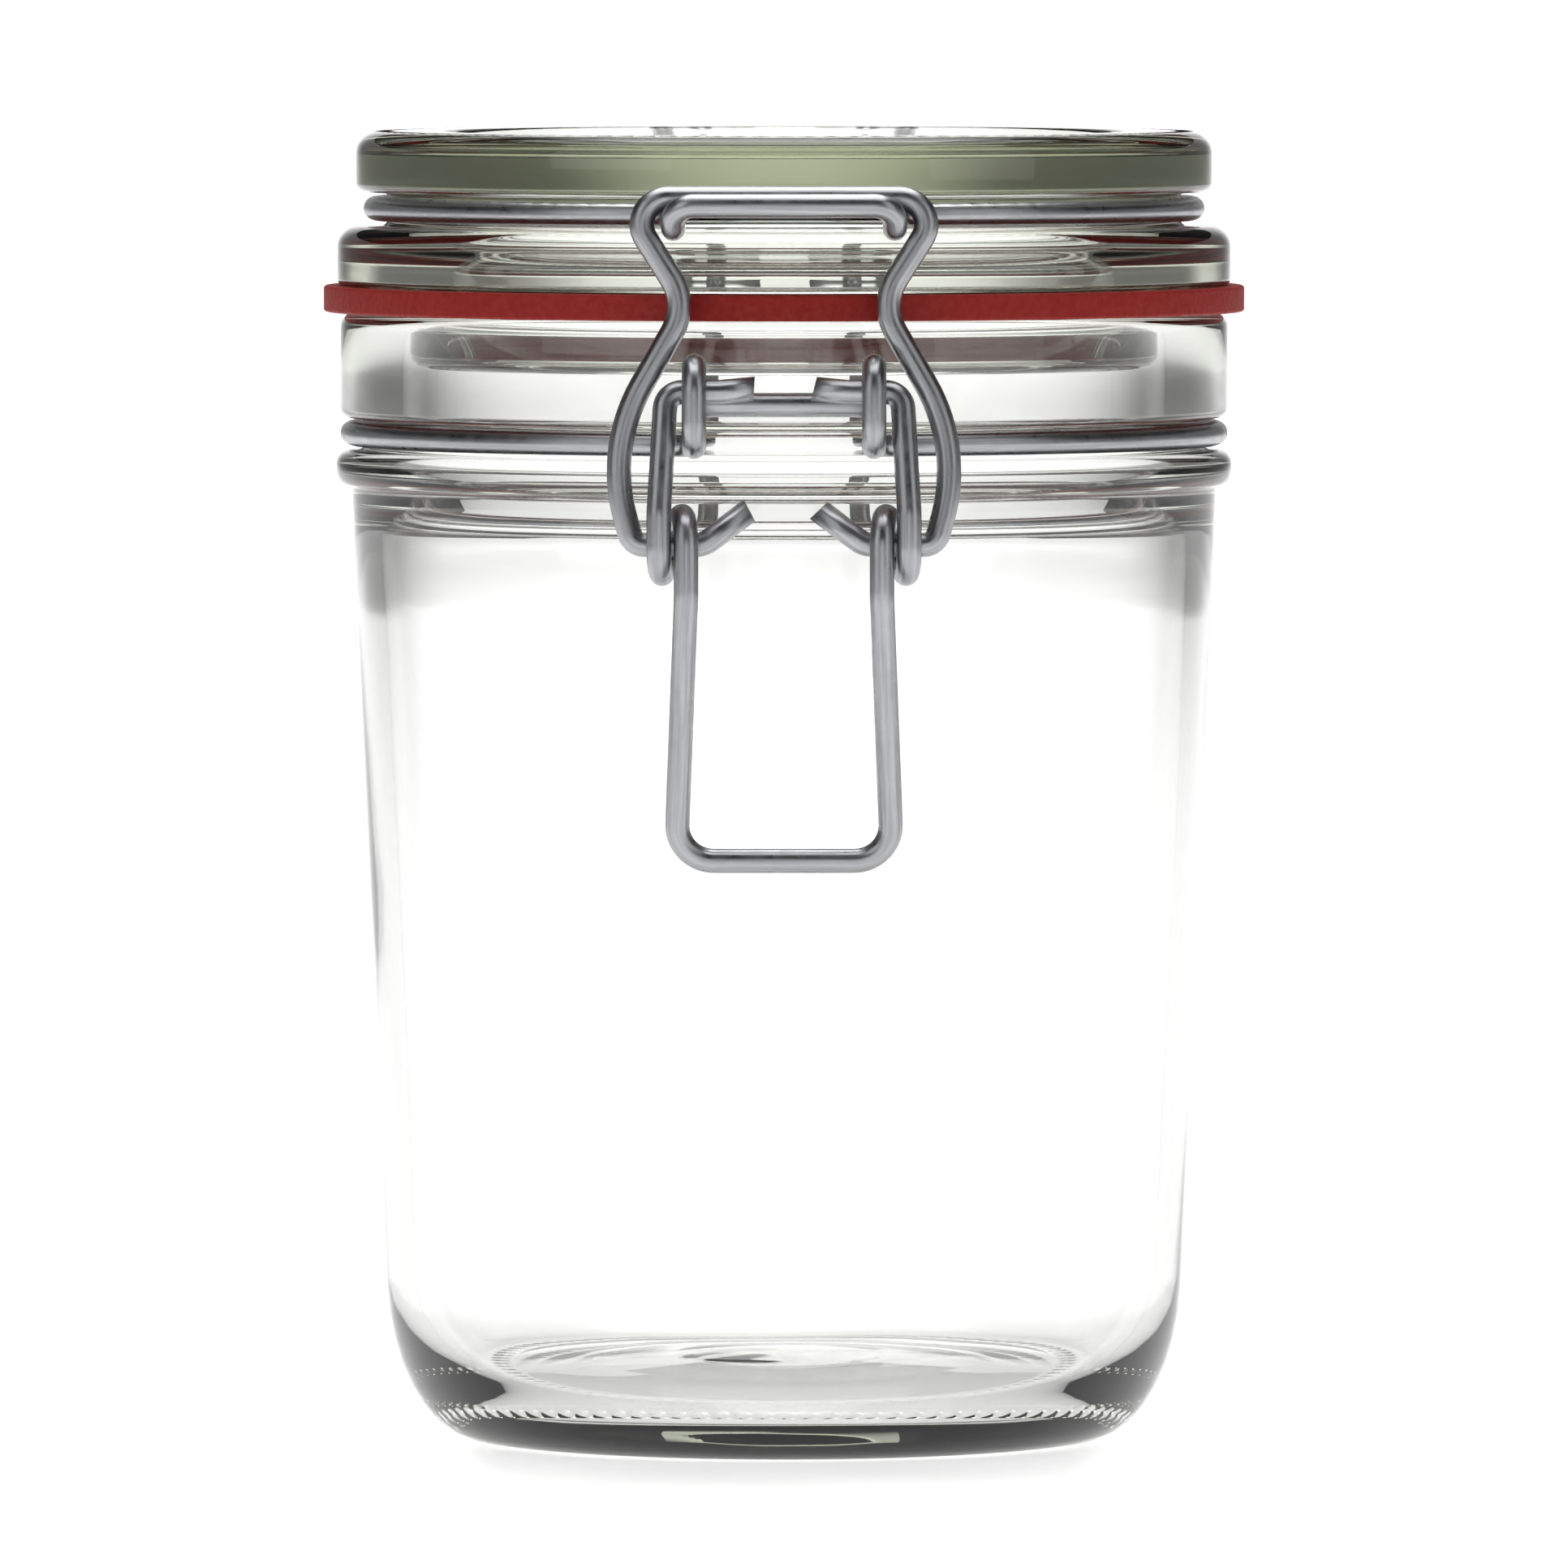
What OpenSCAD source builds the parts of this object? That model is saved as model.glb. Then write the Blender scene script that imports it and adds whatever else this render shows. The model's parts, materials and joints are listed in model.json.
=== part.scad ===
/* [Glass jar] */
// Height of the jar's rim above the surface it stands on
rim_z = 132.3; // [90:0.1:220]
// Radius of the open mouth
mouth_r = 44.8; // [36:0.1:60]
// Width of the rim, from the mouth to the collar's outside
rim_w = 7.3; // [6:0.1:9]
// How far the wall's top stands in from the collar
wall_inset = 1.3; // [0.8:0.1:2.5]
// How far the wall narrows from its top down to the heel
wall_taper = 4.1; // [0:0.1:8]
// Thickness of the glass wall
wall = 3.3; // [2.5:0.1:5]
// Thickness of the glass bottom at its edge
bottom = 4.5; // [4:0.1:9]
// Rise of the pushed-up middle of the bottom
push_up = 2.5; // [0.5:0.1:4]
// Height of the rounded heel
heel_h = 18; // [12:0.5:24]
// Width of the rounded heel
heel_w = 10.5; // [8:0.5:14]
// Width of the flat ring that the jar stands on
stand_w = 3; // [2:0.1:5]
// Height of the collar above the neck groove
collar_h = 12.4; // [10:0.1:16]
// Radius of the collar's rounded top corner
collar_round = 2; // [1:0.1:3]
// Depth of the neck groove under the collar
neck_groove_d = 2.9; // [2:0.1:3.2]
// Radius of the bead's rounded section
bead_round = 2.1; // [1.5:0.1:2.5]
// How far the bead stands out from the wall
bead_out = 1.8; // [1:0.1:2]

/* [Rubber gasket] */
// Thickness of the rubber ring
gasket_t = 2.9; // [2:0.1:4]
// Width of the rubber ring, from its bore to its outside
gasket_w = 7; // [6:0.1:7.6]
// How far the ring's bore stands out from the mouth
gasket_inset = 2.2; // [1.5:0.1:3]

/* [Glass lid] */
// How far the lid's lower flange stands out past the collar
flange_over = 0.35; // [-0.5:0.05:0.6]
// Height of the lid's lower flange
flange_h = 7.1; // [5.5:0.1:9]
// How far the lid's top flange stands in from the lower one
top_inset = 2.2; // [1:0.1:3]
// Height of the lid's top flange
top_h = 7.1; // [5.5:0.1:10]
// Depth of the wire groove under the top flange
lid_groove_d = 3.8; // [3:0.1:4.2]
// Radius of the flanges' rounded upper corners
lid_round = 2.7; // [1:0.1:3]
// Width of the lid's flat rim round its dished middle
lid_rim_w = 10.2; // [6:0.1:14]
// Depth of the dish
dish_d = 2.5; // [0.5:0.1:4]
// Depth to which the plug reaches below the rim
plug_d = 6.5; // [4:0.1:8]
// Thickness of the plug's wall round the hollow under the lid
plug_w = 5; // [4:0.1:8]
// Glass left above the hollow
lid_web = 7; // [5:0.1:10]

/* [Wire] */
// Diameter of the wire
wire_d = 2.8; // [2.3:0.05:3.4]

/* [Clamp] */
// Height of the lever's pivot below the rim
lever_drop = 8; // [7:0.1:9]
// Length of the lever between its two pivots
lever_arm = 17.5; // [14:0.1:21]
// Sideways place of the neck wire's front eyes
eye_x = 10.3; // [9:0.1:11]
// Height of the handle's bottom bar below the bail pivot
handle_drop = 36.4; // [26:0.1:46]
// Sideways place of the handle's legs at the bottom
handle_x = 12.4; // [11:0.1:15]
// How far the handle leans in towards the jar
handle_lean = 3.7; // [0:0.1:3.9]
// Sideways place of the nose's two prongs
nose_x = 12.7; // [11.8:0.1:12.8]
// Height of the nose's bar above the ring in the lid's groove
nose_up = 1.25; // [1:0.05:1.5]

/* [Hinge] */
// Height of the ring in the lid's groove above the hinge's axis
hinge_fall = 5.85; // [5.5:0.05:7]
// Sideways place of the hinge's eyes
hinge_eye_x = 10.3; // [9:0.1:14]

/* [Clearances] */
// Gap between the rubber and the jar's rim
gasket_gap = 0.1; // [0.05:0.01:0.3]
// Play between the lid's plug and the jar's mouth
plug_gap = 0.8; // [0.4:0.1:1.5]
// Play of a wire across the neck groove
neck_groove_play = 0.9; // [0.4:0.1:2]
// Play of a wire across the lid's groove
lid_groove_play = 1.1; // [0.4:0.1:2]
// Play round the wire in each eye
pivot_gap = 0.2; // [0.1:0.05:0.4]
// Play round the wire in each of the lever's coils
coil_gap = 0.5; // [0.3:0.05:0.6]
// Gap between the collar and the neck wire's front eyes
eye_gap = 1.1; // [0.8:0.1:2]
// Gap between the lid's lower flange and the bail's bar
bail_gap = 0.45; // [0.3:0.05:0.8]
// Gap between the bail's bar and the nose that holds it
crook_gap = 0.8; // [0.5:0.05:1]
// Gap between the bail and the nose's prongs that it passes
prong_gap = 0.35; // [0.2:0.05:0.8]
// Gap between the neck wire's front eyes and the lever's coils, seen from the front
coil_side_gap = 1.2; // [0.8:0.1:1.6]
// Least gap between the hinge's eyes and the rubber
hinge_gap = 0.3; // [0.1:0.1:0.6]

/* [Hidden] */
$fn = 96;
// Points on each rounded stretch of an outline
arc_steps = 10;
// Radial depth of the heel's rounding inside the jar, and length of the slope in to the mouth
inner_heel = 9;
neck_slope = 8;
// Rounding of the corner round the top of the hollow under the lid, and radius of its flared wall
hollow_round = 7;
flare_r = 45;
// Play between the lid's spigot and the rubber, and between the spigot and the rim
spigot_gap = 0.1;
spigot_lift = 0.3;
// Play between each ring of wire and the floor of its groove
ring_play = 0.05;
// A bend is a hair fatter than a straight run, and each run ends just inside it
bend_skin = 0.01;
bend_trim = 0.04;
bend_lap = 0.12;

wire_r = wire_d / 2;
// Centreline radii of the eyes, the coils and the bends
eye_r = wire_d + pivot_gap;
coil_r = wire_d + coil_gap;
turn_r = wire_r + 1.6;
bar_turn_r = wire_r + 0.1;
nose_turn_r = wire_r + 1;
stub_turn_r = wire_r + 0.8;
leg_turn_r = wire_r + 0.6;
heel_turn_r = wire_r + 0.4;
shoulder_turn_r = 3;
waist_turn_r = 6;
bulge_turn_r = 20;
handle_turn_r = 4.2;
slight_turn_r = 6;
// Angle at which the bead's round leaves the wall
bead_from = -80;
// How far the nose's corners curl back, short of a wire's width
crook_short = 0.2;
// Play between two turns of a coil, and how far round each of its middle corners lies across it
coil_play = 0.3;
coil_shares = [0.23, 0.71];
// The leg leans in above the coil, and runs straight above and below it
leg_lean = 0.8;
leg_above_coil = 0.5;
leg_below_coil = 2.5;
// Gap between a hinge eye and the lid wire's prong beside it
prong_side_gap = 2.4;
// Gap between the coil and the bail's heel, and how far the bail bulges out above it
heel_gap = 0.2;
bulge_out = 3;
bulge_above_coil = 11.3;
// The bail's waist
waist_x = 11;
waist_below_bar = 12.2;

// Radii and levels of the jar
collar_r = mouth_r + rim_w;
wall_top_r = collar_r - wall_inset;
foot_r = wall_top_r - wall_taper;
stand_r = foot_r - heel_w;
collar_z = rim_z - collar_h;
groove_z = collar_z - wire_d - neck_groove_play;
neck_ring_z = (collar_z + groove_z) / 2;
neck_floor_r = collar_r - neck_groove_d;
neck_ring_r = neck_floor_r + ring_play + wire_r;
bead_r = wall_top_r + bead_out - bead_round;
bead_z = groove_z - bead_round;

// Radii and levels of the gasket and the lid
gasket_bore_r = mouth_r + gasket_inset;
gasket_r = gasket_bore_r + gasket_w;
gasket_z = rim_z + gasket_gap;
lid_z = gasket_z + gasket_t;
lid_groove_z = lid_z + flange_h;
top_z = lid_groove_z + wire_d + lid_groove_play;
lid_top_z = top_z + top_h;
flange_r = collar_r + flange_over;
top_r = flange_r - top_inset;
lid_floor_r = top_r - lid_groove_d;
lid_ring_r = lid_floor_r + ring_play + wire_r;
lid_ring_z = (lid_groove_z + top_z) / 2;
plug_r = mouth_r - plug_gap;
spigot_r = gasket_bore_r - spigot_gap;
hollow_r = plug_r - plug_w;
dish_r = top_r - lid_rim_w;

// Places of the clamp's pivots, the bail's bar and the nose that holds it
clamp_y = collar_r + eye_gap + wire_r + eye_r;
lever_z = rim_z - lever_drop;
bail_z = lever_z - lever_arm;
nose_z = lid_ring_z + nose_up;
crook_z = nose_z - wire_d;
bail_bar_z = crook_z + wire_d + crook_gap;
bail_bar_y = flange_r + bail_gap + wire_r;
nose_y = bail_bar_y + wire_d + crook_gap;
crook_y = nose_y - wire_d + crook_short;
// The hinge reaches as far behind the jar as the coils reach in front of it, or as the rubber needs
hinge_z = lid_ring_z - hinge_fall;
clear_of_rubber = eye_r + wire_r + hinge_gap;
past_rubber = sqrt(max(0, pow(clear_of_rubber, 2) - pow(hinge_z - lid_z, 2)));
hinge_y = max(clamp_y + coil_r - eye_r, gasket_r + past_rubber);
hinge_prong_x = hinge_eye_x + wire_d + prong_side_gap;
// Sideways places of the bail's corners before they are bent
coil_x = eye_x + wire_d + coil_side_gap;
coil_pitch = wire_d + coil_play;
heel_x = coil_x + wire_d + heel_gap;
bulge_x = heel_x + bulge_out;
// From its waist the bail leans out far enough to pass beside the nose's prongs
waist_to_prong = [nose_x - waist_x, waist_below_bar - wire_d - crook_gap];
bail_lean = atan(waist_to_prong.x / waist_to_prong.y) + asin((wire_d + prong_gap) / norm(waist_to_prong));
shoulder_x = waist_x + waist_below_bar * tan(bail_lean);
// Places of the cut ends
bail_stub = [3.8, 9.2, 4.1];
lever_stub = [3.2, 7.4, 0.4];
hinge_stub_x = 3.5;

function arc(x, y, rx, ry, from, to) =
    [for (i = [0:arc_steps]) let (a = from + (to - from) * i / arc_steps) [x + rx * cos(a), y + ry * sin(a)]];

function unit(v) = v / norm(v);
function turn(a, b, c) = acos(min(1, max(-1, unit(b - a) * unit(c - b))));
function setback(p, bends, i) =
    i == 0 || i == len(p) - 1 ? 0 : bends[i - 1] * tan(turn(p[i - 1], p[i], p[i + 1]) / 2);
function mirrored(half) = [for (i = [len(half) - 1:-1:0]) [-half[i].x, half[i].y, half[i].z]];
function backward(list) = [for (i = [len(list) - 1:-1:0]) list[i]];

// Angle at which a wire running along Y at this x joins a ring, through a bend of turn_r
function join_angle(x, ring) = asin((x + turn_r) / (ring + turn_r));
function join_y(x, ring) =
    let (a = join_angle(x, ring)) ring * cos(a) + turn_r * tan((90 - a) / 2) * sin(a);
// Corner points of one side of a ring, from its front prong or eye to its rear one
function ring_side(ring, z, front_x, rear_x) =
    let (from = join_angle(front_x, ring), to = 180 - join_angle(rear_x, ring), step = (to - from) / 2)
    [
        [front_x, -join_y(front_x, ring), z],
        for (i = [0.5, 1.5])
            let (a = from + step * i, r = ring / cos(step / 2)) [r * sin(a), -r * cos(a), z],
        [rear_x, join_y(rear_x, ring), z]
    ];

// Places a shape so that its Z axis runs along z_dir and its X axis along x_dir
module aimed(at, x_dir, z_dir) {
    y_dir = cross(z_dir, x_dir);
    multmatrix([for (i = [0:2]) [x_dir[i], y_dir[i], z_dir[i], at[i]]]) children();
}

module straight(from, to) {
    along = unit(to - from);
    side = abs(along.x) < 0.9 ? unit(cross(along, [1, 0, 0])) : unit(cross(along, [0, 1, 0]));
    aimed(from, side, along) cylinder(r = wire_r, h = norm(to - from));
}

module bend(a, b, c, r) {
    d = unit(b - a);
    e = unit(c - b);
    angle = turn(a, b, c);
    inward = unit(e - (d * e) * d);
    start = b - d * r * tan(angle / 2);
    trim = bend_trim / r * 180 / PI;
    aimed(start + inward * r, -inward, cross(-inward, d))
        rotate([0, 0, trim]) rotate_extrude(angle = angle - 2 * trim)
            translate([r, 0]) circle(r = wire_r + bend_skin);
}

// A wire through these corner points, with each corner bent to its own radius
module bent_wire(p, bends) {
    last = len(p) - 1;
    for (i = [0:last - 1]) {
        along = unit(p[i + 1] - p[i]);
        start_lap = i == 0 ? 0 : bend_lap;
        end_lap = i == last - 1 ? 0 : bend_lap;
        from = p[i] + along * (setback(p, bends, i) - start_lap);
        to = p[i + 1] - along * (setback(p, bends, i + 1) - end_lap);
        straight(from, to);
    }
    for (i = [1:last - 1]) bend(p[i - 1], p[i], p[i + 1], bends[i - 1]);
}

module glass_jar() {
    heel_in_r = foot_r - wall - inner_heel;
    color("gainsboro", 0.5)
        rotate_extrude() polygon(concat(
            [[0, push_up], [stand_r - stand_w, 0]],
            arc(stand_r, heel_h, foot_r - stand_r, heel_h, -90, 0),
            [[wall_top_r, bead_z - bead_round]],
            arc(bead_r, bead_z, bead_round, bead_round, bead_from, 90),
            [[neck_floor_r, groove_z], [neck_floor_r, collar_z], [collar_r, collar_z]],
            arc(collar_r - collar_round, rim_z - collar_round, collar_round, collar_round, 0, 90),
            [[mouth_r, rim_z], [mouth_r, groove_z], [wall_top_r - wall, groove_z - neck_slope]],
            arc(heel_in_r, heel_h, inner_heel, heel_h - bottom, 0, -90),
            [[0, bottom + push_up]]
        ));
}

module glass_lid() {
    plug_z = rim_z - plug_d;
    dish_z = lid_top_z - dish_d;
    crown_z = dish_z - lid_web;
    shoulder_z = crown_z - hollow_round;
    flare_end = 180 + asin((shoulder_z - plug_z) / flare_r);
    color("gainsboro", 0.5)
        rotate_extrude() polygon(concat(
            [[0, crown_z]],
            arc(hollow_r - hollow_round, shoulder_z, hollow_round, hollow_round, 90, 0),
            arc(hollow_r + flare_r, shoulder_z, flare_r, flare_r, 180, flare_end),
            [[plug_r, plug_z], [plug_r, rim_z + spigot_lift], [spigot_r, rim_z + spigot_lift]],
            [[spigot_r, lid_z], [flange_r, lid_z]],
            arc(flange_r - lid_round, lid_groove_z - lid_round, lid_round, lid_round, 0, 90),
            [[lid_floor_r, lid_groove_z], [lid_floor_r, top_z], [top_r, top_z]],
            arc(top_r - lid_round, lid_top_z - lid_round, lid_round, lid_round, 0, 90),
            [[dish_r, lid_top_z], [dish_r - dish_d, dish_z], [0, dish_z]]
        ));
}

module rubber_gasket() {
    color("firebrick")
        rotate_extrude() translate([gasket_bore_r, gasket_z]) square([gasket_w, gasket_t]);
}

// From the bar between the front eyes, through an eye, round the groove and up to the hinge eye
module neck_wire() {
    back = -(clamp_y - eye_r);
    front = -(clamp_y + eye_r);
    bar_z = lever_z - bar_turn_r - ring_play;
    rear = hinge_y + eye_r;
    half = concat(
        [[eye_x, back, bar_z], [eye_x, back, lever_z + eye_r], [eye_x, front, lever_z + eye_r]],
        [[eye_x, front, neck_ring_z]],
        ring_side(neck_ring_r, neck_ring_z, eye_x, hinge_eye_x),
        [[hinge_eye_x, rear, neck_ring_z], [hinge_eye_x, rear, hinge_z + eye_r]],
        [[hinge_eye_x, hinge_y - eye_r, hinge_z + eye_r], [hinge_eye_x, hinge_y - eye_r, hinge_z - eye_r]],
        [[hinge_eye_x, hinge_y + pivot_gap, hinge_z - eye_r]]
    );
    bends = concat(
        [bar_turn_r, eye_r, eye_r, turn_r, turn_r, neck_ring_r, neck_ring_r, turn_r, turn_r],
        [eye_r, eye_r, eye_r]
    );
    color("silver") bent_wire(concat(mirrored(half), half), concat(backward(bends), bends));
}

// From the nose's bar, back along a prong, round the lid's groove and down into the hinge
module lid_wire() {
    half = concat(
        [[nose_x, -nose_y, nose_z], [nose_x, -crook_y, crook_z]],
        ring_side(lid_ring_r, lid_ring_z, nose_x, hinge_prong_x),
        [[hinge_prong_x, hinge_y, lid_ring_z], [hinge_prong_x, hinge_y, hinge_z]],
        [[hinge_stub_x, hinge_y, hinge_z]]
    );
    bends = [nose_turn_r, leg_turn_r, turn_r, lid_ring_r, lid_ring_r, turn_r, turn_r, stub_turn_r];
    color("silver") bent_wire(concat(mirrored(half), half), concat(backward(bends), bends));
}

// Hourglass loop from the bar behind the nose down to the stubs in the lever's coils
module bail_wire() {
    foot = [0, -clamp_y, bail_z];
    top = [0, -bail_bar_y, bail_bar_z];
    up = unit(top - foot);
    reach = norm(top - foot);
    half = [
        [shoulder_x, 0, 0] + foot + up * reach,
        [waist_x, 0, 0] + foot + up * (reach - waist_below_bar),
        [bulge_x, 0, 0] + foot + up * bulge_above_coil,
        [heel_x, 0, 0] + foot,
        [bail_stub[1], 0, 0] + foot,
        [bail_stub[0], 0, bail_stub[2]] + foot
    ];
    bends = [shoulder_turn_r, waist_turn_r, bulge_turn_r, heel_turn_r, turn_r];
    color("silver") bent_wire(concat(mirrored(half), half), concat(backward(bends), bends));
}

// From a stub in the neck wire's eye, down the leg, once round the coil and down the handle
module lever_wire() {
    inner_x = coil_x - coil_pitch;
    front = -(clamp_y + coil_r);
    back = -(clamp_y - coil_r);
    under = bail_z - coil_r;
    over = bail_z + coil_r;
    half = [
        [lever_stub[0], -clamp_y, lever_z + lever_stub[2]],
        [lever_stub[1], -clamp_y, lever_z],
        [coil_x - leg_lean, -clamp_y, lever_z],
        [coil_x, front, over + leg_above_coil],
        [coil_x, front, under],
        [coil_x - coil_shares[0] * coil_pitch, back, under],
        [coil_x - coil_shares[1] * coil_pitch, back, over],
        [inner_x, front, over],
        [inner_x, front, under - leg_below_coil],
        [handle_x, handle_lean - clamp_y, bail_z - handle_drop]
    ];
    bends = [slight_turn_r, leg_turn_r, turn_r, coil_r, coil_r, coil_r, coil_r, slight_turn_r, handle_turn_r];
    color("silver") bent_wire(concat(half, mirrored(half)), concat(bends, backward(bends)));
}

glass_jar();
glass_lid();
rubber_gasket();
neck_wire();
lid_wire();
bail_wire();
lever_wire();
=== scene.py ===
import json
from math import acos, asin, atan, ceil, cos, hypot, pi, radians, sin, tan

import bmesh
import bpy
from mathutils import Matrix, Vector


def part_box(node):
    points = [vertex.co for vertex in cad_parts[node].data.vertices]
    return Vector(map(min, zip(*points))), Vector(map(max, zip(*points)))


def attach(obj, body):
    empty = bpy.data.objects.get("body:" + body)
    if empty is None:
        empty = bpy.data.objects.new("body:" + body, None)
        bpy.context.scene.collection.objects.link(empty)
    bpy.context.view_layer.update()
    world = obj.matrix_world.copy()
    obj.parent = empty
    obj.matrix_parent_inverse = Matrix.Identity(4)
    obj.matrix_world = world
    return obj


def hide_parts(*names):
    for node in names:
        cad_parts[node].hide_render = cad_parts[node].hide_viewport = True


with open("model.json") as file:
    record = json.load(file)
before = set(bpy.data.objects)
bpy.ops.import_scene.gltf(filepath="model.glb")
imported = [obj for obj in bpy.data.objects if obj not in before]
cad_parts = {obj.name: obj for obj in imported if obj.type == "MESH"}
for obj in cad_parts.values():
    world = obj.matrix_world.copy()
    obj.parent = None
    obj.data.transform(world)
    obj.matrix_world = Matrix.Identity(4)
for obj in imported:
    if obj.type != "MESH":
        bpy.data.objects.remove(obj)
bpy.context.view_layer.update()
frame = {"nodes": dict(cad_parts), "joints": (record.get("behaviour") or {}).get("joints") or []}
mm = 0.001
scene = bpy.context.scene

# Camera, low in front of the clamp and far off

view = {"place": (0, -2.3, 0.185), "aim": (0, 0, 0.0767), "lens": 450, "sensor": 36}
lensData = bpy.data.cameras.new("jarCamera")
lensData.lens, lensData.sensor_width, lensData.clip_end = view["lens"], view["sensor"], 60
camera = bpy.data.objects.new("jarCamera", lensData)
camera.location = view["place"]
camera.rotation_euler = (Vector(view["aim"]) - camera.location).to_track_quat("-Z", "Y").to_euler()
scene.collection.objects.link(camera)
scene.camera = camera

# Sizes that every piece takes from the fixed model, in millimetres

joints = {joint["name"]: Vector(joint["pos_m"]) / mm for joint in frame["joints"]}
boxes = {node: [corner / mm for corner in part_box(node)] for node in frame["nodes"]}
leverPivot, bailPivot, hinge = joints["lever_pivot"], joints["bail_pivot"], joints["lid_hinge"]
clampY, leverZ, bailZ = -leverPivot.y, leverPivot.z, bailPivot.z
rimZ = boxes["glass_jar"][1].z
wireR = bailZ - boxes["bail_wire"][0].z
wireD = 2 * wireR
eyeR = -boxes["neck_wire"][0].y - clampY - wireR
coilR = -boxes["lever_wire"][0].y - clampY - wireR
print("frame read: rim at", round(rimZ, 2), "wire", round(wireD, 2))


# Meshes

def newOutline(corners, closed=False):
    # Each corner is (radius, height, rounding), and a fourth number stretches the rounding upwards
    shape = bmesh.new()
    verts = [shape.verts.new((c[0] * mm, 0, c[1] * mm)) for c in corners]
    for a, b in zip(verts, verts[1:] + (verts[:1] if closed else [])):
        shape.edges.new((a, b))
    count = len(corners)
    for i, corner in enumerate(corners):
        if len(corner) < 3:
            continue
        here = Vector(corner[:2])
        before = (here - Vector(corners[i - 1][:2])).normalized()
        after = (Vector(corners[(i + 1) % count][:2]) - here).normalized()
        turn = acos(max(-1, min(1, before.dot(after))))
        made = bmesh.ops.bevel(
            shape, geom=[verts[i]], offset=corner[2] * tan(turn / 2) * mm, offset_type="OFFSET",
            segments=max(2, ceil(turn / radians(11))), profile=0.5, affect="VERTICES", material=-1,
            clamp_overlap=False)["verts"]
        if len(corner) > 3:
            flat = Matrix.Translation((0, 0, -corner[1] * mm))
            bmesh.ops.scale(shape, vec=(1, 1, corner[3]), space=flat, verts=made)
    return shape


def turnOutline(shape, steps):
    bmesh.ops.spin(shape, geom=shape.verts[:] + shape.edges[:], cent=(0, 0, 0), axis=(0, 0, 1),
                   dvec=(0, 0, 0), angle=2 * pi, steps=steps, use_merge=True, use_duplicate=False)
    bmesh.ops.remove_doubles(shape, verts=shape.verts, dist=1e-7)
    bmesh.ops.recalc_face_normals(shape, faces=shape.faces)


def angleOf(vert, steps):
    # Which of the turned steps this vertex stands on
    return round(Vector((vert.co.x, vert.co.y)).angle_signed(Vector((1, 0)), 0) / (2 * pi) * steps) % steps


def newObject(name, shape, materials):
    mesh = bpy.data.meshes.new(name)
    for face in shape.faces:
        face.smooth = True
    shape.to_mesh(mesh)
    shape.free()
    for material in materials:
        mesh.materials.append(material)
    made = bpy.data.objects.new(name, mesh)
    scene.collection.objects.link(made)
    return made


def addPiece(name, shape, materials, body, node):
    piece = newObject(name, shape, materials)
    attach(piece, body)
    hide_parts(node)
    print("made", name, len(piece.data.polygons), "faces")


def mirrored(half):
    return [(-x, y, z) for x, y, z in reversed(half)] + list(half)


def ringSide(ring, z, frontX, rearX, turnR):
    # One side of a ring of wire, from its front prong to its rear one
    def joinAngle(x):
        return asin((x + turnR) / (ring + turnR))

    def joinY(x):
        a = joinAngle(x)
        return ring * cos(a) + turnR * tan((pi / 2 - a) / 2) * sin(a)
    first, last = joinAngle(frontX), pi - joinAngle(rearX)
    step = (last - first) / 2
    out = ring / cos(step / 2)
    middle = [(out * sin(first + step * i), -out * cos(first + step * i), z) for i in (0.5, 1.5)]
    return [(frontX, -joinY(frontX), z), *middle, (rearX, joinY(rearX), z)]


# How finely a wire is drawn, and how its cut ends slant and are rimmed
wireMesh = {"sides": 20, "longest": 8, "flat": 0.008, "slant": 0.16, "burr": 0.3}


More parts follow.
